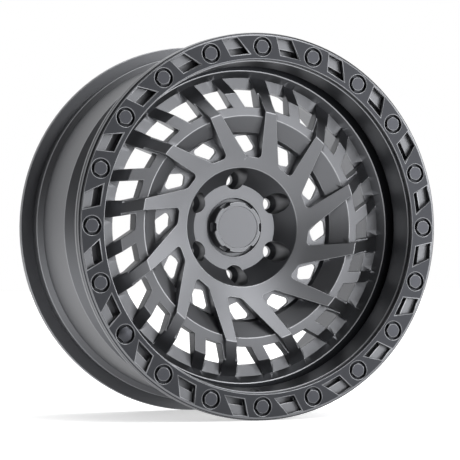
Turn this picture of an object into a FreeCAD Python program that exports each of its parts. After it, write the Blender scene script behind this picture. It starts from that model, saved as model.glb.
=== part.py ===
import FreeCAD, Part
import math
import os
import re

import Sketcher

# Sizes in millimetres and degrees. The hub mounting face is the plane y = 0 and the wheel faces -Y,
# so a size ending in _front is a distance ahead of that face.
SIZES = [
    ("rim_radius", "273.7", "outside of both tyre flanges"),
    ("flange_height", "17.3", "flange above the tyre bead seat"),
    ("seat_width", "20", "bead seat, flange to hump"),
    ("hump_rise", "2", "safety hump above the end of the seat"),
    ("hump_width", "5", "crest of the hump"),
    ("hump_slope", "5", "slope from the hump down to the barrel"),
    ("between_flanges", "241.3", "rim width between the flanges"),
    ("flange_width", "13", "rear flange"),
    ("flange_edge", "4", "chamfer of the flange edges"),
    ("rear_reach", "131.5", "rear end behind the mounting face"),
    ("rear_mouth", "10", "flare of the barrel's rear mouth"),
    ("well_drop", "24.4", "floor of the drop well below the seat"),
    ("well_start_front", "64", "well floor, front end"),
    ("well_end_front", "26", "well floor, rear end"),
    ("well_slope", "18", "length of the slope behind the well"),
    ("barrel_drop", "6.4", "outside of the barrel below the seat"),
    ("barrel_wall", "5.5", "barrel wall"),
    ("lip_ledge", "2.3", "narrow ledge of the lip inside the ring"),
    ("lip_taper", "4.3", "taper of the lip down to the groove"),
    ("lip_throat_front", "93.6", "place of that step"),
    ("lip_groove_depth", "6.8", "groove in the lip"),
    ("lip_step", "5.3", "lip behind the groove, step inwards"),
    ("lip_foot_front", "76.5", "place of that step"),
    ("lip_foot_width", "9.2", "sloping foot of the lip, radially"),
    ("ledge_front", "66.4", "face of the ledge"),
    ("ledge_width", "16.7", "face of the ledge, radially"),
    ("ledge_thick", "12.4", "thickness of the ledge"),
    ("cap_bore_radius", "42.2", "front opening of the hub"),
    ("lug_face_front", "36", "hub face with the lug holes"),
    ("lug_face_radius", "62.9", "edge of that face"),
    ("hub_front", "67.2", "rim of the hub cone"),
    ("hub_radius", "85.7", "rim of the hub cone"),
    ("root_front", "73", "spoke face at the root"),
    ("root_radius", "102.6", "root of the spokes"),
    ("crest_front", "100", "spoke face at the crest"),
    ("crest_share", "0.56111", "crest of the spokes, as a share of their length"),
    ("bend_front", "84.2", "second crease of the spokes"),
    ("bend_share", "0.80107", "second crease of the spokes, share"),
    ("spoke_back_front", "57", "flat back of the spokes"),
    ("pad_radius", "90", "mounting face, outer edge"),
    ("spoke_count", "12", "main spokes"),
    ("cut_overrun", "9.3", "cuts between spokes past the ledge"),
    ("trail_root_angle", "15", "trailing edge of a spoke at the root"),
    ("trail_crest_angle", "22.4", "trailing edge at the crest"),
    ("trail_tip_angle", "26.95", "trailing edge at the outer end of the cuts"),
    ("lead_root_angle", "-2.1", "leading edge of a spoke at the root"),
    ("lead_bend_angle", "20", "leading edge at the second crease"),
    ("lead_tip_angle", "21.4", "leading edge at the outer end of the cuts"),
    ("trail_root_round", "5", "rounding between trailing edge and hub"),
    ("lead_root_round", "12", "rounding between leading edge and hub"),
    ("floor_front", "63", "low floor between the spoke roots"),
    ("floor_share", "0.27565", "outer edge of that floor, share"),
    ("scoop_front", "70.5", "inner edge of the web"),
    ("scoop_share", "0.30062", "inner edge of the web, share"),
    ("web_front", "89.5", "crease of the web"),
    ("web_share", "0.50312", "crease of the web, share"),
    ("web_thick", "24.5", "web at its crease"),
    ("web_step_share", "0.38715", "step on the back of the web, share"),
    ("window_share", "0.61909", "inner edge of the outer windows, share"),
    ("strut_lead_root_angle", "1.5", "leading edge of a strut at the web"),
    ("strut_lead_tip_angle", "9.4", "leading edge at the outer end of the cuts"),
    ("strut_trail_root_angle", "7.9", "trailing edge of a strut at the web"),
    ("strut_trail_tip_angle", "13.95", "trailing edge at the outer end of the cuts"),
    ("shoulder_angle", "0.8", "shoulder of the web beside a main spoke"),
    ("window_lead_angle", "16.3", "corner of the window ahead of a main spoke"),
    ("window_trail_angle", "-6", "corner of the window behind a main spoke"),
    ("eye_inner_share", "0.04371", "hole between the spoke roots, inner corner, share"),
    ("eye_side_share", "0.11954", "its side corner, share"),
    ("eye_inner_angle", "-3", "inner corner"),
    ("eye_side_angle", "-11", "side corner"),
    ("eye_near_angle", "-4", "outer corner on that side"),
    ("eye_far_angle", "7", "outer corner on the far side"),
    ("eye_outer_share", "0.25335", "outer corner on the far side, share"),
    ("eye_round", "5", "corners of the hole"),
    ("lug_count", "6", "lug holes"),
    ("lug_circle", "139.7", "diameter of the lug circle"),
    ("lug_pocket_radius", "14.5", "pocket for a wheel nut"),
    ("lug_seat_front", "15", "outer edge of the conical seat"),
    ("lug_seat_depth", "6.9", "conical seat of 60 degrees"),
    ("lug_hole_radius", "8", "stud hole"),
    ("hub_bore_radius", "53.05", "hub bore"),
    ("hub_bore_depth", "18", "hub bore"),
    ("hub_bore_chamfer", "1.5", "edge of the hub bore"),
    ("cap_seat_radius", "48", "seat of the cap behind the front opening"),
    ("cap_lip_front", "27", "face that the cap rests against"),
    ("valve_radius", "5.75", "valve hole"),
    ("valve_front", "108", "valve hole, where its axis meets the lip"),
    ("valve_tilt", "24", "valve hole axis to the wheel axis"),
    ("valve_reach", "46", "cut along that axis, each way"),
    ("ring_front", "140", "face of the outer ring"),
    ("ring_thick", "9", "outer ring"),
    ("ring_edge", "3.2", "chamfer of its outer edge"),
    ("ring_width", "37.9", "ring, radially"),
    ("bolt_count", "20", "ring bolts"),
    ("bolt_inset", "19.9", "bolts inside the outer edge of the ring"),
    ("bolt_radius", "4", "bolt shank"),
    ("bolt_reach", "7.5", "threaded hole below the ring"),
    ("shank_sides", "6", "sides of the hidden shank"),
    ("bolt_spare", "1", "threaded hole past the end of the bolt"),
    ("bolt_turn", "37", "turn of each bolt head from the last"),
    ("head_flats", "19", "bolt head across flats"),
    ("head_height", "6", "bolt head"),
    ("bolt_pocket_radius", "13", "counterbore"),
    ("slit_outer_inset", "6.3", "ring window inside the outer edge, outer edge"),
    ("slit_inner_inset", "29.5", "ring window, inner edge"),
    ("slit_outer_start", "8.4", "ring window, outer edge from the bolt"),
    ("slit_outer_end", "13.1", "ring window, outer edge"),
    ("slit_inner_start", "4.7", "ring window, inner edge"),
    ("slit_inner_end", "11.4", "ring window, inner edge"),
    ("relief_outer_inset", "20.2", "milled relief in the flange, outer edge"),
    ("relief_inner_inset", "30.3", "milled relief, inner edge"),
    ("relief_outer_start", "6", "milled relief, outer edge from the bolt"),
    ("relief_outer_end", "12", "milled relief, outer edge"),
    ("relief_inner_start", "4.4", "milled relief, inner edge"),
    ("relief_inner_end", "11.6", "milled relief, inner edge"),
    ("relief_depth", "12", "milled relief"),
    ("cap_front", "50", "face of the centre cap"),
    ("cap_radius", "37.1", "outside of the cap"),
    ("cap_edge", "1.2", "chamfer of its face"),
    ("cap_flange_thick", "5", "flange of the cap behind the front opening"),
    ("cap_hollow_radius", "30.5", "hollow of the cap"),
    ("cap_crown", "5", "thickness of its face"),
    ("notch_count", "6", "notches of the cap"),
    ("notch_depth", "3.4", "notch, radially"),
    ("notch_half_angle", "11.7", "half of a notch's mouth"),
    ("notch_slope_angle", "3", "slope of a notch's sides"),
    ("notch_length", "14", "notch along the axis"),
    ("disc_radius", "30.3", "plate in the face of the cap"),
    ("disc_thick", "1.4", "plate"),
    ("disc_recess", "2", "recess for the plate"),
    ("clearance", "0.15", "fit between pieces"),
    ("sink", "2", "overlap of features that are one piece"),
]
ALIASES = {name for name, _, _ in SIZES}

# Radii that follow from the sizes: those of the rim and ring from the flange inwards, and those of
# the spokes as shares of the way from the hub to the ledge.
RADII = {
    "seat_radius": "rim_radius - flange_height",
    "barrel_radius": "seat_radius - barrel_drop",
    "well_radius": "seat_radius - well_drop",
    "bolt_circle_radius": "rim_radius - bolt_inset",
    "slit_outer_radius": "rim_radius - slit_outer_inset",
    "slit_inner_radius": "rim_radius - slit_inner_inset",
    "relief_outer_radius": "rim_radius - relief_outer_inset",
    "relief_inner_radius": "rim_radius - relief_inner_inset",
    "ring_mouth_radius": "rim_radius - ring_width",
    "lip_mouth_radius": "ring_mouth_radius - lip_ledge",
    "lip_throat_radius": "lip_mouth_radius - lip_taper",
    "lip_groove_radius": "lip_throat_radius + lip_groove_depth",
    "lip_foot_radius": "lip_throat_radius - lip_step",
    "ledge_radius": "lip_foot_radius - lip_foot_width",
    "cut_radius": "ledge_radius + cut_overrun",
    "spoke_length": "ledge_radius - root_radius",
    "crest_radius": "root_radius + crest_share * spoke_length",
    "bend_radius": "root_radius + bend_share * spoke_length",
    "floor_radius": "root_radius + floor_share * spoke_length",
    "scoop_radius": "root_radius + scoop_share * spoke_length",
    "web_radius": "root_radius + web_share * spoke_length",
    "web_step_radius": "root_radius + web_step_share * spoke_length",
    "window_radius": "root_radius + window_share * spoke_length",
    "eye_inner_radius": "root_radius + eye_inner_share * spoke_length",
    "eye_side_radius": "root_radius + eye_side_share * spoke_length",
    "eye_outer_radius": "root_radius + eye_outer_share * spoke_length",
}

doc = FreeCAD.newDocument("forged_wheel")
sheet = doc.addObject("Spreadsheet::Sheet", "dims")
for row, (name, number, note) in enumerate(SIZES, start=1):
    sheet.set(f"A{row}", note)
    sheet.set(f"B{row}", number)
    sheet.setAlias(f"B{row}", name)
doc.recompute()


def tied(size):
    """Write a size such as 'rim_radius - barrel_wall' in terms of the sheet's cells."""
    def cell(word):
        if word[0] in RADII:
            return f"({tied(RADII[word[0]])})"
        return "dims." + word[0] if word[0] in ALIASES else word[0]
    return re.sub(r"[a-z_]+", cell, size)


def value(size):
    """Give the number that a size has now."""
    result = sheet.evalExpression(tied(size))
    return float(getattr(result, "Value", result))


def polar(radius, angle):
    """Give the two sketch coordinates of a corner at a radius and an angle in degrees."""
    return f"({radius}) * cos(({angle}) * 1 deg)", f"({radius}) * sin(({angle}) * 1 deg)"


def new_body(name):
    body = doc.addObject("PartDesign::Body", name)
    body.Label = name
    return body


def origin(body, role):
    return next(part for part in body.Origin.OriginFeatures if part.Role == role)


def new_sketch(body, name, role, ahead=None):
    """Start a sketch on an origin plane of the body, moved ahead along the plane's normal."""
    sketch = body.newObject("Sketcher::SketchObject", name)
    sketch.AttachmentSupport = (origin(body, role), [""])
    sketch.MapMode = "FlatFace"
    if ahead:
        sketch.setExpression("AttachmentOffset.Base.z", tied(ahead))
    return sketch


def tie(sketch, kind, *where, size):
    """Add a dimension to a sketch and bind it to the sheet."""
    index = sketch.addConstraint(Sketcher.Constraint(kind, *where, value(size)))
    sketch.setExpression(f"Constraints[{index}]", tied(size))


def place(sketch, geometry, end, corner):
    tie(sketch, "DistanceX", -1, 1, geometry, end, size=corner[0])
    tie(sketch, "DistanceY", -1, 1, geometry, end, size=corner[1])


def outline(sketch, corners):
    """Draw a closed outline of straight lines. A corner is (x, y) or (x, y, rounding radius)."""
    points = [FreeCAD.Vector(value(corner[0]), value(corner[1]), 0) for corner in corners]
    starts, ends, arcs = list(points), list(points), {}
    for i, corner in enumerate(corners):
        if len(corner) == 3:
            back = (points[i - 1] - points[i]).normalize()
            on = (points[(i + 1) % len(points)] - points[i]).normalize()
            half = back.getAngle(on) / 2
            radius = value(corner[2])
            ends[i] = points[i] + back * (radius / math.tan(half))
            starts[i] = points[i] + on * (radius / math.tan(half))
            middle = points[i] + (back + on).normalize() * (radius / math.sin(half) - radius)
            arcs[i] = Part.Arc(ends[i], middle, starts[i])
    lines = []
    for i in range(len(points)):
        line = Part.LineSegment(starts[i], ends[(i + 1) % len(points)])
        lines.append(sketch.addGeometry(line))
    for i, corner in enumerate(corners):
        if i not in arcs:
            sketch.addConstraint(Sketcher.Constraint("Coincident", lines[i - 1], 2, lines[i], 1))
            place(sketch, lines[i], 1, corner)
            continue
        arc = sketch.addGeometry(arcs[i])
        gaps = [(sketch.getPoint(arc, end) - ends[i]).Length for end in (1, 2)]
        near = 1 if gaps[0] < gaps[1] else 2
        sketch.addConstraint(Sketcher.Constraint("Tangent", lines[i - 1], 2, arc, near))
        sketch.addConstraint(Sketcher.Constraint("Tangent", arc, 3 - near, lines[i], 1))
        tie(sketch, "Radius", arc, size=corner[2])
        peak = sketch.addGeometry(Part.Point(points[i]), True)
        sketch.addConstraint(Sketcher.Constraint("PointOnObject", peak, 1, lines[i - 1]))
        sketch.addConstraint(Sketcher.Constraint("PointOnObject", peak, 1, lines[i]))
        place(sketch, peak, 1, corner)


def turned(body, name, corners, kind="Revolution", axis=None):
    """Turn a profile of (y, radius) corners about the wheel axis, or about a line given by two corners."""
    sketch = new_sketch(body, name + "_profile", "YZ_Plane")
    outline(sketch, corners)
    feature = body.newObject("PartDesign::" + kind, name)
    feature.Profile = sketch
    if axis:
        start, end = (FreeCAD.Vector(value(x), value(y), 0) for x, y in axis)
        line = sketch.addGeometry(Part.LineSegment(start, end), True)
        place(sketch, line, 1, axis[0])
        place(sketch, line, 2, axis[1])
        feature.ReferenceAxis = (sketch, ["Axis0"])
    else:
        feature.ReferenceAxis = (origin(body, "Y_Axis"), [""])
    feature.Angle = 360
    doc.recompute()
    return feature


def cut(body, name, outlines, ahead=None, depth=None):
    """Cut outlines drawn in the front view, right through or to a depth behind the sketch plane."""
    sketch = new_sketch(body, name + "_outline", "XZ_Plane", ahead)
    for corners in outlines:
        outline(sketch, corners)
    pocket = body.newObject("PartDesign::Pocket", name)
    pocket.Profile = sketch
    if depth:
        pocket.setExpression("Length", tied(depth))
    else:
        pocket.Type = "ThroughAll"
        pocket.Midplane = True
    doc.recompute()
    return pocket


def repeat(body, feature, count):
    """Repeat a feature around the wheel axis."""
    pattern = body.newObject("PartDesign::PolarPattern", feature.Name + "_pattern")
    pattern.Originals = [feature]
    pattern.Axis = (origin(body, "Y_Axis"), [""])
    pattern.Angle = 360
    pattern.setExpression("Occurrences", tied(count))
    body.Tip = pattern
    doc.recompute()
    return pattern


def bolt_hole_corners():
    """Give the corners of the hole for the bolt at the top. It has few sides, as it is hidden and repeats."""
    corners = []
    for side in range(round(value("shank_sides"))):
        across, up = polar("bolt_radius + clearance", f"{side} * 360 / shank_sides")
        corners.append((across, f"bolt_circle_radius + {up}"))
    return corners


def make_wheel():
    """Build the forging: spoked centre, web, rim, and the holes in them."""
    body = new_body("wheel")
    pitch = "360 / spoke_count"
    turned(body, "centre", [
        ("-lug_face_front", "cap_bore_radius"),
        ("-lug_face_front", "lug_face_radius"),
        ("-hub_front", "hub_radius"),
        ("-root_front", "root_radius"),
        ("-crest_front", "crest_radius"),
        ("-bend_front", "bend_radius"),
        ("-ledge_front", "ledge_radius"),
        ("-ledge_front", "ledge_radius + sink"),
        ("-spoke_back_front", "ledge_radius + sink"),
        ("-spoke_back_front", "pad_radius"),
        ("0", "pad_radius"),
        ("0", "hub_bore_radius + hub_bore_chamfer"),
        ("-hub_bore_chamfer", "hub_bore_radius"),
        ("-hub_bore_depth", "hub_bore_radius"),
        ("-hub_bore_depth", "cap_seat_radius"),
        ("-cap_lip_front", "cap_seat_radius"),
        ("-cap_lip_front", "cap_bore_radius"),
    ])
    gap = cut(body, "gap", [[
        (*polar("root_radius", "trail_root_angle"), "trail_root_round"),
        polar("crest_radius", "trail_crest_angle"),
        polar("cut_radius", "trail_tip_angle"),
        polar("cut_radius", f"lead_tip_angle + {pitch}"),
        polar("bend_radius", f"lead_bend_angle + {pitch}"),
        (*polar("root_radius", f"lead_root_angle + {pitch}"), "lead_root_round"),
    ]])
    repeat(body, gap, "spoke_count")
    turned(body, "web", [
        ("-floor_front", "root_radius - sink"),
        ("-floor_front", "floor_radius"),
        ("-scoop_front", "scoop_radius"),
        ("-web_front", "web_radius"),
        ("-bend_front", "bend_radius"),
        ("-ledge_front", "ledge_radius"),
        ("-ledge_front", "ledge_radius + sink"),
        ("web_thick - web_front", "ledge_radius + sink"),
        ("web_thick - web_front", "web_step_radius"),
        ("-spoke_back_front", "web_step_radius"),
        ("-spoke_back_front", "root_radius - sink"),
    ])
    eye = cut(body, "eye", [[
        (*polar("eye_inner_radius", "eye_inner_angle"), "eye_round"),
        (*polar("eye_outer_radius", "eye_far_angle"), "eye_round"),
        (*polar("floor_radius", "eye_near_angle"), "eye_round"),
        (*polar("eye_side_radius", "eye_side_angle"), "eye_round"),
    ]])
    repeat(body, eye, "spoke_count")
    windows = cut(body, "windows", [
        [
            polar("window_radius", "strut_trail_root_angle"),
            polar("cut_radius", "strut_trail_tip_angle"),
            polar("cut_radius", "lead_tip_angle - shoulder_angle"),
            polar("bend_radius", "lead_bend_angle - shoulder_angle"),
            polar("window_radius", "window_lead_angle"),
        ],
        [
            polar("window_radius", "window_trail_angle"),
            polar("cut_radius", f"trail_tip_angle + shoulder_angle - {pitch}"),
            polar("cut_radius", "strut_lead_tip_angle"),
            polar("window_radius", "strut_lead_root_angle"),
        ],
    ])
    repeat(body, windows, "spoke_count")
    ring_seat = "ring_thick - ring_front"
    front_flange = "rear_reach - flange_width - between_flanges"
    rear_flange = "rear_reach - flange_width"
    turned(body, "rim", [
        (ring_seat, "lip_mouth_radius"),
        (ring_seat, "rim_radius - flange_edge"),
        (f"{ring_seat} + flange_edge", "rim_radius"),
        (front_flange, "rim_radius"),
        (front_flange, "seat_radius"),
        (f"{front_flange} + seat_width", "seat_radius"),
        ("-well_start_front", "well_radius"),
        ("-well_end_front", "well_radius"),
        ("well_slope - well_end_front", "barrel_radius"),
        (f"{rear_flange} - seat_width - hump_rise - hump_width - hump_slope", "barrel_radius"),
        (f"{rear_flange} - seat_width - hump_rise - hump_width", "seat_radius + hump_rise"),
        (f"{rear_flange} - seat_width - hump_rise", "seat_radius + hump_rise"),
        (f"{rear_flange} - seat_width", "seat_radius"),
        (rear_flange, "seat_radius"),
        (rear_flange, "rim_radius"),
        ("rear_reach - flange_edge", "rim_radius"),
        ("rear_reach", "rim_radius - flange_edge"),
        ("rear_reach", "barrel_radius - barrel_wall + rear_mouth"),
        ("rear_reach - rear_mouth", "barrel_radius - barrel_wall"),
        ("well_slope - well_end_front", "barrel_radius - barrel_wall"),
        ("-well_end_front", "well_radius - barrel_wall"),
        ("ledge_thick - ledge_front", "well_radius - barrel_wall"),
        ("ledge_thick - ledge_front", "ledge_radius - ledge_width"),
        ("-ledge_front", "ledge_radius - ledge_width"),
        ("-ledge_front", "ledge_radius"),
        ("-lip_foot_front", "lip_foot_radius"),
        ("-lip_foot_front", "lip_groove_radius"),
        ("-lip_throat_front", "lip_groove_radius"),
        ("-lip_throat_front", "lip_throat_radius"),
    ])
    lug = turned(body, "lug_hole", [
        ("-hub_front - sink", "lug_circle / 2"),
        ("-hub_front - sink", "lug_circle / 2 + lug_pocket_radius"),
        ("-lug_seat_front", "lug_circle / 2 + lug_pocket_radius"),
        ("lug_seat_depth - lug_seat_front", "lug_circle / 2 + lug_hole_radius"),
        ("sink", "lug_circle / 2 + lug_hole_radius"),
        ("sink", "lug_circle / 2"),
    ], "Groove", [("-hub_front", "lug_circle / 2"), ("sink", "lug_circle / 2")])
    repeat(body, lug, "lug_count")
    thread = cut(body, "bolt_hole", [bolt_hole_corners()], "ring_front - ring_thick", "bolt_reach")
    repeat(body, thread, "bolt_count")
    relief = cut(body, "relief", [[
        polar("relief_inner_radius", "relief_inner_start"),
        polar("relief_outer_radius", "relief_outer_start"),
        polar("relief_outer_radius", "relief_outer_end"),
        polar("relief_inner_radius", "relief_inner_end"),
    ]], "ring_front - ring_thick", "relief_depth")
    repeat(body, relief, "bolt_count")
    run = "cos(valve_tilt * 1 deg)"
    rise = "sin(valve_tilt * 1 deg)"
    low = "-lip_mouth_radius"
    turned(body, "valve_hole", [
        (f"-valve_front - valve_reach * {run}", f"{low} + valve_reach * {rise}"),
        (f"-valve_front + valve_reach * {run}", f"{low} - valve_reach * {rise}"),
        (f"-valve_front + valve_reach * {run} - valve_radius * {rise}",
         f"{low} - valve_reach * {rise} - valve_radius * {run}"),
        (f"-valve_front - valve_reach * {run} - valve_radius * {rise}",
         f"{low} + valve_reach * {rise} - valve_radius * {run}"),
    ], "Groove", [("-valve_front", low), (f"-valve_front + {run}", f"{low} - {rise}")])
    return body


def make_ring():
    """Build the ring on the front flange, with its bolt seats and windows."""
    body = new_body("outer_ring")
    back = "ring_thick - ring_front"
    turned(body, "ring", [
        ("-ring_front", "ring_mouth_radius"),
        ("-ring_front", "rim_radius - ring_edge"),
        ("ring_edge - ring_front", "rim_radius"),
        (back, "rim_radius"),
        (back, "ring_mouth_radius"),
    ])
    seat = turned(body, "bolt_seat", [
        ("-ring_front - sink", "bolt_circle_radius"),
        ("-ring_front - sink", "bolt_circle_radius + bolt_pocket_radius"),
        ("head_height - ring_front", "bolt_circle_radius + bolt_pocket_radius"),
        ("head_height - ring_front", "bolt_circle_radius"),
    ], "Groove", [("-ring_front", "bolt_circle_radius"), ("0", "bolt_circle_radius")])
    repeat(body, seat, "bolt_count")
    hole = cut(body, "bolt_hole", [bolt_hole_corners()])
    repeat(body, hole, "bolt_count")
    slit = cut(body, "slit", [[
        polar("slit_inner_radius", "slit_inner_start"),
        polar("slit_outer_radius", "slit_outer_start"),
        polar("slit_outer_radius", "slit_outer_end"),
        polar("slit_inner_radius", "slit_inner_end"),
    ]])
    repeat(body, slit, "bolt_count")
    return body


def upright(kind, name, depth, sizes, turn=0, across=("0", "0")):
    """Add a plain solid that stands along the wheel axis, from a depth towards the front."""
    solid = doc.addObject("Part::" + kind, name)
    for size, amount in sizes.items():
        solid.setExpression(size, tied(amount))
    lie = FreeCAD.Rotation(FreeCAD.Vector(1, 0, 0), 90)
    solid.Placement.Rotation = lie * FreeCAD.Rotation(FreeCAD.Vector(0, 0, 1), turn)
    for axis, amount in zip("xyz", (across[0], depth, across[1])):
        solid.setExpression("Placement.Base." + axis, tied(amount))
    return solid


def make_bolts():
    """Build the ring bolts as one group of separate solids, each head turned differently."""
    bolts = []
    for index in range(round(value("bolt_count"))):
        place_on_circle = polar("bolt_circle_radius", f"90 + {index} * 360 / bolt_count")
        seat = "head_height - ring_front"
        end = "ring_thick - ring_front + bolt_reach - bolt_spare"
        head = upright("Prism", f"head_{index}", seat, {
            "Circumradius": "head_flats / sqrt(3)",
            "Height": "head_height",
        }, index * value("bolt_turn"), place_on_circle)
        shank = upright("Prism", f"shank_{index}", end, {
            "Polygon": "shank_sides",
            "Circumradius": "bolt_radius",
            "Height": f"{end} - ({seat}) + head_height / 2",
        }, index * 360 / value("bolt_count"), place_on_circle)
        bolt = doc.addObject("Part::Fuse", f"bolt_{index}")
        bolt.Base = head
        bolt.Tool = shank
        bolts.append(bolt)
    group = doc.addObject("Part::Compound", "ring_bolts")
    group.Links = bolts
    return group


def make_cap():
    """Build the notched cap in the middle, with a flange behind the hub's front opening."""
    body = new_body("centre_cap")
    back = "cap_flange_thick - cap_lip_front"
    turned(body, "cap", [
        ("disc_recess - cap_front", "0"),
        ("disc_recess - cap_front", "disc_radius + clearance"),
        ("-cap_front", "disc_radius + clearance"),
        ("-cap_front", "cap_radius - cap_edge"),
        ("cap_edge - cap_front", "cap_radius"),
        ("-cap_lip_front", "cap_radius"),
        ("-cap_lip_front", "cap_seat_radius - clearance"),
        (back, "cap_seat_radius - clearance"),
        (back, "cap_hollow_radius"),
        ("disc_recess + cap_crown - cap_front", "cap_hollow_radius"),
        ("disc_recess + cap_crown - cap_front", "0"),
    ])
    mouth = "notch_half_angle"
    foot = "notch_half_angle - notch_slope_angle"
    notch = cut(body, "notch", [[
        polar("cap_radius - notch_depth", f"-({foot})"),
        polar("cap_radius + sink", f"-{mouth}"),
        polar("cap_radius + sink", mouth),
        polar("cap_radius - notch_depth", foot),
    ]], "cap_front", "notch_length")
    repeat(body, notch, "notch_count")
    return body


def make_disc():
    """Build the plain plate in the face of the cap."""
    sizes = {"Radius": "disc_radius", "Height": "disc_thick"}
    return upright("Cylinder", "cap_disc", "disc_recess - cap_front", sizes)


def check_and_write(nodes):
    """Stop if anything failed, then write each sub-part's solid."""
    doc.recompute()
    failed = [thing.Name for thing in doc.Objects if {"Invalid", "Error"} & set(thing.State)]
    empty = [node.Label for node in nodes if node.Shape.isNull() or not node.Shape.isValid()]
    if failed or empty:
        raise RuntimeError(f"failed: {failed}, no valid shape: {empty}")
    os.makedirs("parts", exist_ok=True)
    for node in nodes:
        node.Shape.exportStep(f"parts/{node.Label}.step")


check_and_write([make_wheel(), make_ring(), make_bolts(), make_cap(), make_disc()])
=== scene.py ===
import math

import bmesh
import bpy
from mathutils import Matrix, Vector


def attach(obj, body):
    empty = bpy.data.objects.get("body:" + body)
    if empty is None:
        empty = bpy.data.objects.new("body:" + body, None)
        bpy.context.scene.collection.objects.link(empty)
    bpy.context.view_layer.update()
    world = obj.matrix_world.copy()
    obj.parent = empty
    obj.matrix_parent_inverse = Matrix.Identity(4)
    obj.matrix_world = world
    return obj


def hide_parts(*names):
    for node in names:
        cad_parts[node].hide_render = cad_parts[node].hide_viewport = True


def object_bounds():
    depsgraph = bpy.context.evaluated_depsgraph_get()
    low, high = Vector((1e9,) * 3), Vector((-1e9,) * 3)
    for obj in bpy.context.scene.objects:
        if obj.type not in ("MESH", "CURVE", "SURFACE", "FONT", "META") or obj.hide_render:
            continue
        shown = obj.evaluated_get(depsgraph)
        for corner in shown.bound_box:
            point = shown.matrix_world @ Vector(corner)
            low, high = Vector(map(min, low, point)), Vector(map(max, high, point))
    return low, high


bl_info = {
    "name": "Forged wheel",
    "version": (1, 0, 0),
    "blender": (4, 5, 0),
    "location": "View3D > Sidebar > Wheel",
    "description": "Builds a forged wheel with a bolted outer ring on its CAD frame",
    "category": "Add Mesh",
}

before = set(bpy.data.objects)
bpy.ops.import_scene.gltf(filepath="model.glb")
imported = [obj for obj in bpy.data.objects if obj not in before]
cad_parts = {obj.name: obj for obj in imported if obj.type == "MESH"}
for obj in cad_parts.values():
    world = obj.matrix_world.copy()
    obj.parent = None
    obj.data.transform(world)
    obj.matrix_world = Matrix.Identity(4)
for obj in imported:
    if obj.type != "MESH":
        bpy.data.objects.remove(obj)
CAD_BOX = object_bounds()

# All lengths are metres. The wheel's axis is Y and its face looks towards -Y.
MERGE_DISTANCE = 1e-6
TOLERANCE = 1e-5

# Edges: one that turns more than the first angle stays sharp, an outer one past the second is rounded.
SHARP_DEGREES = 9.3
ROUNDED_DEGREES = 25
EDGE_SEGMENTS = 2

# Places of the finishes in a piece's list: the body, a painted highlight on rounded edges, painted shade on
# the lip and a painted shadow in its groove.
BODY_FINISH = 0
EDGE_HIGHLIGHT = 1
LIP_SHADE = 2
GROOVE_SHADOW = 3

# The lip between ring and spokes, and the groove turned into it, whose faces are painted darker as shade
# and shadow. The last two values limit the outward part of a face's normal.
LIP_INNER_RADIUS = 0.2146
LIP_BACK = -0.0663
GROOVE_INNER_RADIUS = 0.2238
GROOVE_FRONT = -0.0937
GROOVE_BACK = -0.0764
FACES_AXIS = -0.5
FACES_ALONG = 0.1

# Bolt heads: a hexagon with a turned chamfer round its flat top. Triangles that turn less than the
# last angle are one flat face.
HEAD_TOP_RADIUS = 0.0091
HEAD_CHAMFER_DEGREES = 30
HEAD_SIDE_CUTS = 6
HEAD_INSET = 0.001
FLAT_RADIANS = 0.001

# Roughness of the finishes, among them those of the painted edge highlights. Sprayed lacquer varies a
# little from spot to spot.
SATIN = 0.42
SATIN_HIGHLIGHT = 0.36
GROOVE_MATT = 0.5
RING_SATIN = 0.38
RING_HIGHLIGHT = 0.34
BOLT_SATIN = 0.35
BOLT_HIGHLIGHT = 0.32
PLATE_SATIN = 0.4
ROUGHNESS_SPREAD = 0.04
GRAIN_DETAIL = 2.0

# Metal flakes in lacquer and coating are finer than 0.1 mm, too fine to show, so their grain is drawn
# this coarse for close views. From further off it blends into an even satin.
LACQUER_GRAIN = 0.0006
COATING_GRAIN = 0.0004

# The studio: a floor, a dim half dome ahead of the wheel, and round lamps, as place and diameter.
WHITE = (1, 1, 1, 1)
FLOOR_HALF_WIDTH = 12
FLOOR_ROUGHNESS = 0.9
DOME_RADIUS = 6
DOME_SEGMENTS = 48
DOME_RINGS = 24
DOME_EDGE = (0, 0.3, 0)
LAMPS = {
    "key": ((2.75, -0.8, 0.7), 1.8),
    "upper": ((0.95, -2.05, 2.0), 1.8),
    "front": ((1.35, -2.9, 0.5), 3.0),
    "top": ((0.2, 0.3, 2.4), 2.0),
    "right": ((1.15, -1.75, 0.15), 1.0),
}

# The camera looks at the middle of the ring's face. Sensor and lens are millimetres.
SENSOR_WIDTH = 36
LENS = 182.4
SHIFT_ACROSS = -0.0711
SHIFT_UP = -0.0078
CAMERA_TURN_DEGREES = -23.405
CAMERA_RISE_DEGREES = -0.797
CAMERA_DISTANCE = 3.285


def linear(code):
    """Turn a hex colour into the linear values that Blender stores."""
    parts = [int(code[i:i + 2], 16) / 255 for i in (1, 3, 5)]
    return tuple(c / 12.92 if c <= 0.04045 else ((c + 0.055) / 1.055) ** 2.4 for c in parts)


def colour(code, name, description):
    """Make a colour setting from a hex colour."""
    return bpy.props.FloatVectorProperty(
        name=name, description=description, default=linear(code), subtype="COLOR", min=0, max=1)


def length(default, name, description):
    """Make a length setting in metres."""
    return bpy.props.FloatProperty(
        name=name, description=description, default=default, min=0, unit="LENGTH", precision=5)


def power(default, name, description):
    """Make a lamp setting in watts."""
    return bpy.props.FloatProperty(name=name, description=description, default=default, min=0, unit="POWER")


def strength(default, name, description):
    """Make a setting for the strength of a glow."""
    return bpy.props.FloatProperty(name=name, description=description, default=default, min=0)


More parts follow.
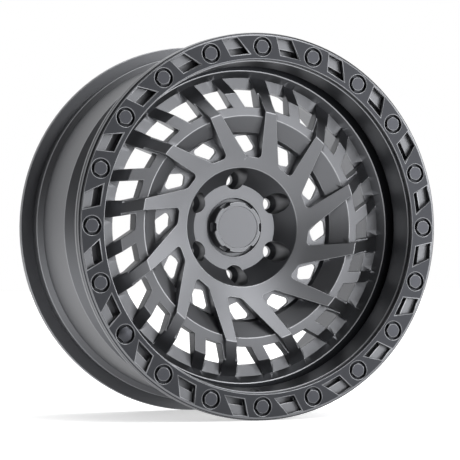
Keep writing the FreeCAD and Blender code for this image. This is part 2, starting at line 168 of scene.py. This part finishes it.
class WheelFinishes(bpy.types.PropertyGroup):
    forging: colour("#6a6b6e", "Forging", "Lacquer of spokes, hub and rim")
    # The lighter edge colour is a painted highlight on the forging's rounded edges.
    forging_edge_highlight: colour("#86878a", "Forging edge", "Painted highlight on the edges of the forging")
    # The darker lip colour is painted shade.
    lip: colour("#56575a", "Lip", "Painted shade on the lip inside the ring")
    # The near-black groove colour is a painted shadow.
    groove: colour("#28292c", "Groove", "Painted shadow in the groove of the lip")
    ring: colour("#343538", "Outer ring", "Lacquer of the bolted ring")
    # The lighter ring edge colour is a painted highlight.
    ring_edge_highlight: colour("#747578", "Ring edge", "Painted highlight on the edges of the ring")
    bolts: colour("#3f4044", "Bolts", "Coating of the ring bolts")
    # The lighter bolt edge colour is a painted highlight.
    bolt_edge_highlight: colour("#717275", "Bolt edge", "Painted highlight on the edges of the bolt heads")
    cap: colour("#6a6b6e", "Centre cap", "Lacquer of the cap")
    plate: colour("#646568", "Plate", "Lacquer of the plate in the cap")


class WheelEdges(bpy.types.PropertyGroup):
    forging: length(0.001, "Forging edge", "Rounding of the edges of the forging")
    ring: length(0.0014, "Ring edge", "Rounding of the edges of the outer ring")
    bolts: length(0.0004, "Bolt edge", "Rounding of the edges of the bolt heads")
    cap: length(0.0005, "Cap edge", "Rounding of the edges of the cap and its plate")


class WheelStage(bpy.types.PropertyGroup):
    floor: colour("#fafafa", "Floor", "Colour of the floor")
    glow: strength(0.5, "Floor glow", "White that shows on the floor")
    key: power(44, "Key light", "Lamp at the right")
    upper: power(42, "Upper light", "Lamp ahead and above")
    front: power(26, "Front light", "Wide lamp ahead of the wheel")
    top: power(20, "Top light", "Lamp above the wheel")
    right: power(8, "Right light", "Lamp ahead at the right")
    sky: strength(1.0, "Sky", "White light from behind")
    shade: strength(0.1, "Shade", "Light from the dim front of the studio")


def add_object(name, data):
    """Put a mesh, lamp or camera into the scene."""
    thing = bpy.data.objects.new(name, data)
    bpy.context.scene.collection.objects.link(thing)
    return thing


def empty_tree(owner):
    """Give a material or world a node tree with nothing in it."""
    owner.use_nodes = True
    owner.node_tree.nodes.clear()
    return owner.node_tree


def add_node(tree, kind, place, links=(), operation=None, **inputs):
    """Add a shader node, set its sockets by name and link outputs of other nodes to them."""
    node = tree.nodes.new(kind)
    node.location = place
    if operation:
        node.operation = operation
    for name, amount in inputs.items():
        node.inputs[name.replace("_", " ")].default_value = amount
    for output, socket in links:
        tree.links.new(output, node.inputs[socket])
    return node


def metal_finish(name, paint, roughness, grain):
    """Make a satin metal finish whose shine varies with a grain of this size."""
    material = bpy.data.materials.new(name)
    tree = empty_tree(material)
    where = add_node(tree, "ShaderNodeTexCoord", (-600, 0))
    noise = add_node(tree, "ShaderNodeTexNoise", (-400, 0), [(where.outputs["Object"], "Vector")],
                     Scale=1 / grain, Detail=GRAIN_DETAIL)
    spread = add_node(tree, "ShaderNodeMapRange", (-200, 0), [(noise.outputs["Fac"], "Value")],
                      To_Min=roughness - ROUGHNESS_SPREAD, To_Max=roughness + ROUGHNESS_SPREAD)
    shader = add_node(tree, "ShaderNodeBsdfPrincipled", (300, 0), [(spread.outputs["Result"], "Roughness")],
                      Base_Color=(*paint, 1), Metallic=1.0, Roughness=roughness)
    add_node(tree, "ShaderNodeOutputMaterial", (600, 0), [(shader.outputs["BSDF"], "Surface")])
    return material


def finished_copy(node, name, finishes, edge, choose=None, shape=None):
    """Copy a CAD node's mesh and round its outer edges, which get a lighter colour as painted highlight."""
    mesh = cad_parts[node].data.copy()
    mesh.name = name
    mesh.materials.clear()
    for finish in finishes:
        mesh.materials.append(finish)
    bm = bmesh.new()
    bm.from_mesh(mesh)
    bmesh.ops.remove_doubles(bm, verts=bm.verts, dist=MERGE_DISTANCE)
    if shape:
        shape(bm)
    for face in bm.faces:
        face.smooth = True
        face.material_index = choose(face) if choose else BODY_FINISH
    weight = bm.edges.layers.float.new("bevel_weight_edge")
    for line in bm.edges:
        turn = math.degrees(line.calc_face_angle(0))
        line.smooth = turn < SHARP_DEGREES
        line[weight] = float(line.is_convex and turn > ROUNDED_DEGREES)
    bm.to_mesh(mesh)
    bm.free()
    piece = add_object(name, mesh)
    rounding = piece.modifiers.new("edges", "BEVEL")
    rounding.width = edge
    rounding.segments = EDGE_SEGMENTS
    rounding.limit_method = "WEIGHT"
    rounding.loop_slide = False
    rounding.use_clamp_overlap = False
    rounding.harden_normals = True
    # The rounded edges take the second finish: a painted highlight.
    rounding.material = EDGE_HIGHLIGHT
    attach(piece, "root")
    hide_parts(node)


def forging_finish_and_shade(face):
    """Choose the colour of a face of the forging: its body, the lip's painted shade or the groove's painted
    shadow.
    """
    radii = [math.hypot(corner.co.x, corner.co.z) for corner in face.verts]
    front = min(corner.co.y for corner in face.verts)
    back = max(corner.co.y for corner in face.verts)
    middle = face.calc_center_median()
    facing_out = (face.normal.x * middle.x + face.normal.z * middle.z) / max(radii)
    in_groove = min(radii) > GROOVE_INNER_RADIUS and GROOVE_FRONT < front and back < GROOVE_BACK
    if in_groove and facing_out < FACES_ALONG:
        return GROOVE_SHADOW
    if min(radii) > LIP_INNER_RADIUS and back < LIP_BACK and facing_out < FACES_AXIS:
        return LIP_SHADE
    return BODY_FINISH


class BuildForging(bpy.types.Operator):
    """Build the forging: hub, spokes, web and rim"""
    bl_idname = "wheel.build_forging"
    bl_label = "Build forging"

    def execute(self, context):
        colours = context.scene.wheel_finishes
        edge = context.scene.wheel_edges.forging
        # Gunmetal lacquer sprayed on forged aluminium: a wide soft shine that turns with every crease.
        body = metal_finish("gunmetal lacquer", colours.forging, SATIN, LACQUER_GRAIN)
        # Its edges are painted lighter as a painted highlight, which shows as fine light lines.
        edge_highlight = metal_finish("rubbed gunmetal lacquer", colours.forging_edge_highlight, SATIN_HIGHLIGHT, LACQUER_GRAIN)
        # The lip is painted darker as painted shade, so that the spokes seem to stand in a shaded dish.
        lip = metal_finish("dark gunmetal lacquer", colours.lip, SATIN, LACQUER_GRAIN)
        # The groove is painted almost black and dull as a painted shadow: a dark line round the dish.
        groove = metal_finish("black lacquer", colours.groove, GROOVE_MATT, LACQUER_GRAIN)
        finishes = [body, edge_highlight, lip, groove]
        finished_copy("wheel", "forging", finishes, edge, choose=forging_finish_and_shade)
        return {"FINISHED"}


class BuildRing(bpy.types.Operator):
    """Build the outer ring"""
    bl_idname = "wheel.build_ring"
    bl_label = "Build outer ring"

    def execute(self, context):
        colours = context.scene.wheel_finishes
        edge = context.scene.wheel_edges.ring
        # Charcoal lacquer on machined aluminium: darker than the forging and a little smoother.
        body = metal_finish("charcoal lacquer", colours.ring, RING_SATIN, LACQUER_GRAIN)
        # Charcoal lacquer on machined aluminium: darker than the forging and a little smoother.
        # Its edges are painted light as a painted highlight, which draws the outline of every window.
        edge_highlight = metal_finish("rubbed charcoal lacquer", colours.ring_edge_highlight, RING_HIGHLIGHT, LACQUER_GRAIN)
        finished_copy("outer_ring", "ring", [body, edge_highlight], edge)
        return {"FINISHED"}


def head_tops(bm):
    """List the foremost faces of the bolts, which are the tops of their heads."""
    front = min(corner.co.y for corner in bm.verts)
    return [face for face in bm.faces if face.calc_center_median().y < front + TOLERANCE]


def chamfer_heads(bm):
    """Turn a chamfer on each hexagon head, round a flat top."""
    slope = math.tan(math.radians(HEAD_CHAMFER_DEGREES))
    bmesh.ops.dissolve_limit(bm, angle_limit=FLAT_RADIANS, verts=bm.verts, edges=bm.edges)
    sides = {line for top in head_tops(bm) for line in top.edges}
    bmesh.ops.subdivide_edges(bm, edges=list(sides), cuts=HEAD_SIDE_CUTS)
    for top in head_tops(bm):
        middle = top.calc_center_median()
        outline = list(top.verts)
        bmesh.ops.inset_individual(bm, faces=[top], thickness=HEAD_INSET)
        for corner in outline:
            corner.co.y += ((corner.co - middle).length - HEAD_TOP_RADIUS) * slope
        for corner in top.verts:
            corner.co = middle + (corner.co - middle).normalized() * HEAD_TOP_RADIUS


class BuildBolts(bpy.types.Operator):
    """Build the ring bolts"""
    bl_idname = "wheel.build_bolts"
    bl_label = "Build ring bolts"

    def execute(self, context):
        colours = context.scene.wheel_finishes
        edge = context.scene.wheel_edges.bolts
        # Dark zinc coating on steel: a tighter shine than lacquer, so the heads stand out of their holes.
        body = metal_finish("dark zinc coating", colours.bolts, BOLT_SATIN, COATING_GRAIN)
        # The edges of the heads are painted bright as a painted highlight.
        edge_highlight = metal_finish("rubbed zinc coating", colours.bolt_edge_highlight, BOLT_HIGHLIGHT, COATING_GRAIN)
        finished_copy("ring_bolts", "bolts", [body, edge_highlight], edge, shape=chamfer_heads)
        return {"FINISHED"}


class BuildCap(bpy.types.Operator):
    """Build the centre cap and its plate"""
    bl_idname = "wheel.build_cap"
    bl_label = "Build centre cap"

    def execute(self, context):
        colours = context.scene.wheel_finishes
        edge = context.scene.wheel_edges.cap
        # Cap and plate have the forging's lacquer, the plate a slightly darker and smoother coat of it.
        body = metal_finish("cap gunmetal lacquer", colours.cap, SATIN, LACQUER_GRAIN)
        face = metal_finish("plate gunmetal lacquer", colours.plate, PLATE_SATIN, LACQUER_GRAIN)
        # Painted highlights on the edges set the notches of the cap off from its face.
        edge_highlight = metal_finish("rubbed cap lacquer", colours.forging_edge_highlight, SATIN_HIGHLIGHT, LACQUER_GRAIN)
        finished_copy("centre_cap", "cap", [body, edge_highlight], edge)
        finished_copy("cap_disc", "plate", [face, edge_highlight], edge)
        return {"FINISHED"}


class BuildStage(bpy.types.Operator):
    """Set up the floor, the lamps, the white surroundings and the camera"""
    bl_idname = "wheel.build_stage"
    bl_label = "Build stage"

    def execute(self, context):
        look = context.scene.wheel_stage
        self.add_floor(look)
        self.add_sky(look.sky)
        self.add_shade(look.shade)
        for name, (place, size) in LAMPS.items():
            self.add_lamp(name, place, size, getattr(look, name))
        self.add_camera()
        context.scene.view_settings.view_transform = "Standard"
        return {"FINISHED"}

    def add_floor(self, look):
        """Lay a white paper floor under the wheel."""
        mesh = bpy.data.meshes.new("floor")
        bm = bmesh.new()
        bmesh.ops.create_grid(bm, x_segments=1, y_segments=1, size=FLOOR_HALF_WIDTH)
        bmesh.ops.translate(bm, verts=bm.verts, vec=(0, 0, CAD_BOX[0].z))
        bm.to_mesh(mesh)
        bm.free()
        floor = add_object("floor", mesh)
        # Matt paper: it glows white where it is looked at or mirrored, and the shadow still darkens it.
        material = bpy.data.materials.new("matt paper")
        tree = empty_tree(material)
        rays = add_node(tree, "ShaderNodeLightPath", (-1000, 0)).outputs
        seen = add_node(tree, "ShaderNodeMath", (-800, 0),
                        [(rays["Is Camera Ray"], 0), (rays["Is Glossy Ray"], 1)], "MAXIMUM")
        shown = add_node(tree, "ShaderNodeMath", (-600, 0),
                         [(seen.outputs["Value"], 0), (rays["Is Transmission Ray"], 1)], "MAXIMUM")
        glow = add_node(tree, "ShaderNodeMapRange", (-300, 0), [(shown.outputs["Value"], "Value")],
                        To_Max=look.glow)
        shader = add_node(tree, "ShaderNodeBsdfPrincipled", (0, 0),
                          [(glow.outputs["Result"], "Emission Strength")],
                          Base_Color=(*look.floor, 1), Roughness=FLOOR_ROUGHNESS, Specular_IOR_Level=0.0,
                          Emission_Color=WHITE)
        add_node(tree, "ShaderNodeOutputMaterial", (300, 0), [(shader.outputs["BSDF"], "Surface")])
        mesh.materials.append(material)

    def add_sky(self, amount):
        """Surround the scene with plain white."""
        world = bpy.data.worlds.new("surroundings")
        bpy.context.scene.world = world
        tree = empty_tree(world)
        white = add_node(tree, "ShaderNodeBackground", (0, 0), Color=WHITE, Strength=amount)
        add_node(tree, "ShaderNodeOutputWorld", (200, 0), [(white.outputs["Background"], "Surface")])

    def add_shade(self, amount):
        """Hang a dim half dome ahead of the wheel, which darkens what the metal mirrors."""
        mesh = bpy.data.meshes.new("shade")
        bm = bmesh.new()
        bmesh.ops.create_uvsphere(bm, u_segments=DOME_SEGMENTS, v_segments=DOME_RINGS, radius=DOME_RADIUS)
        bmesh.ops.bisect_plane(bm, geom=[*bm.verts, *bm.edges, *bm.faces], dist=TOLERANCE,
                               plane_co=DOME_EDGE, plane_no=(0, 1, 0), clear_outer=True)
        bm.to_mesh(mesh)
        bm.free()
        shade = add_object("shade", mesh)
        shade.visible_camera = False
        # Grey studio cloth: an even dim glow.
        material = bpy.data.materials.new("studio cloth")
        tree = empty_tree(material)
        dim = add_node(tree, "ShaderNodeEmission", (0, 0), Color=WHITE, Strength=amount)
        add_node(tree, "ShaderNodeOutputMaterial", (200, 0), [(dim.outputs["Emission"], "Surface")])
        mesh.materials.append(material)

    def add_lamp(self, name, place, size, watts):
        """Point a round softbox at the wheel."""
        data = bpy.data.lights.new(name, "AREA")
        data.shape = "DISK"
        data.size = size
        data.energy = watts
        lamp = add_object(name, data)
        lamp.location = place
        lamp.rotation_euler = (-Vector(place)).to_track_quat("-Z", "Y").to_euler()

    def add_camera(self):
        """Stand the camera at the left of the face, about level with the hub."""
        data = bpy.data.cameras.new("camera")
        data.sensor_width = SENSOR_WIDTH
        data.lens = LENS
        data.shift_x = SHIFT_ACROSS
        data.shift_y = SHIFT_UP
        turn = math.radians(CAMERA_TURN_DEGREES)
        rise = math.radians(CAMERA_RISE_DEGREES)
        back = Vector((math.sin(turn) * math.cos(rise), -math.cos(turn) * math.cos(rise), math.sin(rise)))
        camera = add_object("camera", data)
        camera.location = Vector((0, CAD_BOX[0].y, 0)) + back * CAMERA_DISTANCE
        camera.rotation_euler = back.to_track_quat("Z", "Y").to_euler()
        bpy.context.scene.camera = camera


class WheelPanel(bpy.types.Panel):
    """List the sizes, colours and steps of the wheel"""
    bl_idname = "VIEW3D_PT_forged_wheel"
    bl_label = "Forged wheel"
    bl_space_type = "VIEW_3D"
    bl_region_type = "UI"
    bl_category = "Wheel"

    def draw(self, context):
        scene = context.scene
        for group in (scene.wheel_finishes, scene.wheel_edges, scene.wheel_stage):
            box = self.layout.box()
            for name in group.__annotations__:
                box.prop(group, name)
        for step in STEPS:
            self.layout.operator(step.bl_idname)


STEPS = (BuildForging, BuildRing, BuildBolts, BuildCap, BuildStage)
CLASSES = (WheelFinishes, WheelEdges, WheelStage, *STEPS, WheelPanel)


def register():
    for kind in CLASSES:
        bpy.utils.register_class(kind)
    bpy.types.Scene.wheel_finishes = bpy.props.PointerProperty(type=WheelFinishes)
    bpy.types.Scene.wheel_edges = bpy.props.PointerProperty(type=WheelEdges)
    bpy.types.Scene.wheel_stage = bpy.props.PointerProperty(type=WheelStage)


def unregister():
    del bpy.types.Scene.wheel_stage
    del bpy.types.Scene.wheel_edges
    del bpy.types.Scene.wheel_finishes
    for kind in reversed(CLASSES):
        bpy.utils.unregister_class(kind)


def main():
    register()
    bpy.ops.wheel.build_forging()
    bpy.ops.wheel.build_ring()
    bpy.ops.wheel.build_bolts()
    bpy.ops.wheel.build_cap()
    bpy.ops.wheel.build_stage()


if __name__ == "__main__":
    main()
